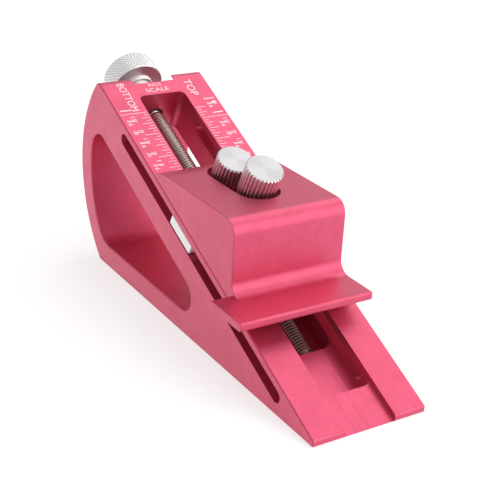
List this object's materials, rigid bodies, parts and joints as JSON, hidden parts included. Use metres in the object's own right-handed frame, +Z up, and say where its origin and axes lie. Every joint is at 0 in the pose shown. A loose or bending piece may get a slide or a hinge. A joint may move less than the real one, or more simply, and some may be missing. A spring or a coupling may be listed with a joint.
{
  "type": "setup height gauge",
  "caption": "Wedge-shaped setup height gauge: a stepped carriage climbs a 25 degree slope on a lead screw turned by a knob at the heel, and is locked by a small knob.",
  "frame": {"origin": "middle of the flat underside of the wedge's base, 48 mm behind the toe's tip", "axes": "+Z up, +Y from the thin toe towards the heel and its adjusting knob, +X to the right seen from the toe"},
  "size_m": [0.0328, 0.1113, 0.0503],
  "materials": {
    "anodised": "satin raspberry red anodising",
    "steel": "turned and knurled, bright",
    "bright_steel": "ground",
    "dark_steel": "dark oiled thread",
    "spring_steel": "spring temper, grey",
    "bronze": "machined bearing bronze"
  },
  "bodies": {
    "base": {"wedge_body": "anodised", "screw_bush": "dark_steel", "thrust_washer": "steel", "wave_washer": "spring_steel"},
    "screw": {"lead_screw": "dark_steel", "adjust_knob": "steel", "knob_set_screw": "dark_steel", "outer_washer": "steel"},
    "slider": {"carriage": "anodised", "lock_washer": "steel", "clamp_spring": "spring_steel", "release_washer": "steel", "nut_guide_pin_left": "steel", "nut_guide_pin_right": "steel"},
    "clamp": {"clamp_plate": "bright_steel"},
    "lock": {"lock_knob": "steel", "lock_stud": "dark_steel"},
    "release": {"release_knob": "steel", "release_stud": "dark_steel", "release_clip": "spring_steel"},
    "nut": {"half_nut": "bronze"}
  },
  "joints": [
    {"name": "carriage_slide", "type": "slide", "parent": "base", "child": "slider", "axis": [0, 0.9063, 0.4226], "range_m": [-0.0385, 0.0258]},
    {"name": "screw_turn", "type": "hinge", "parent": "base", "child": "screw", "pos_m": [0, 0.058, 0.04298], "axis": [0, 0.9063, 0.4226], "range_deg": [-13272, 19802]},
    {"name": "lock_knob_turn", "type": "hinge", "parent": "slider", "child": "lock", "pos_m": [0, 0.0023, 0.02496], "axis": [0, -0.4226, 0.9063], "range_deg": [0, 144.1]},
    {"name": "clamp_drop", "type": "slide", "parent": "slider", "child": "clamp", "axis": [0, 0.4226, -0.9063], "range_m": [0, 0.0002]},
    {"name": "release_knob_turn", "type": "hinge", "parent": "slider", "child": "release", "pos_m": [0, 0.01136, 0.02918], "axis": [0, 0.4226, -0.9063], "range_deg": [0, 360.2]},
    {"name": "half_nut_lift", "type": "slide", "parent": "slider", "child": "nut", "axis": [0, -0.4226, 0.9063], "range_m": [0, 0.0005]}
  ],
  "couplings": [
    {"joint": "screw_turn", "follows": "carriage_slide", "rad_per_m": -8976},
    {"joint": "lock_knob_turn", "follows": "clamp_drop", "rad_per_m": 12566},
    {"joint": "release_knob_turn", "follows": "half_nut_lift", "rad_per_m": 12566}
  ]
}
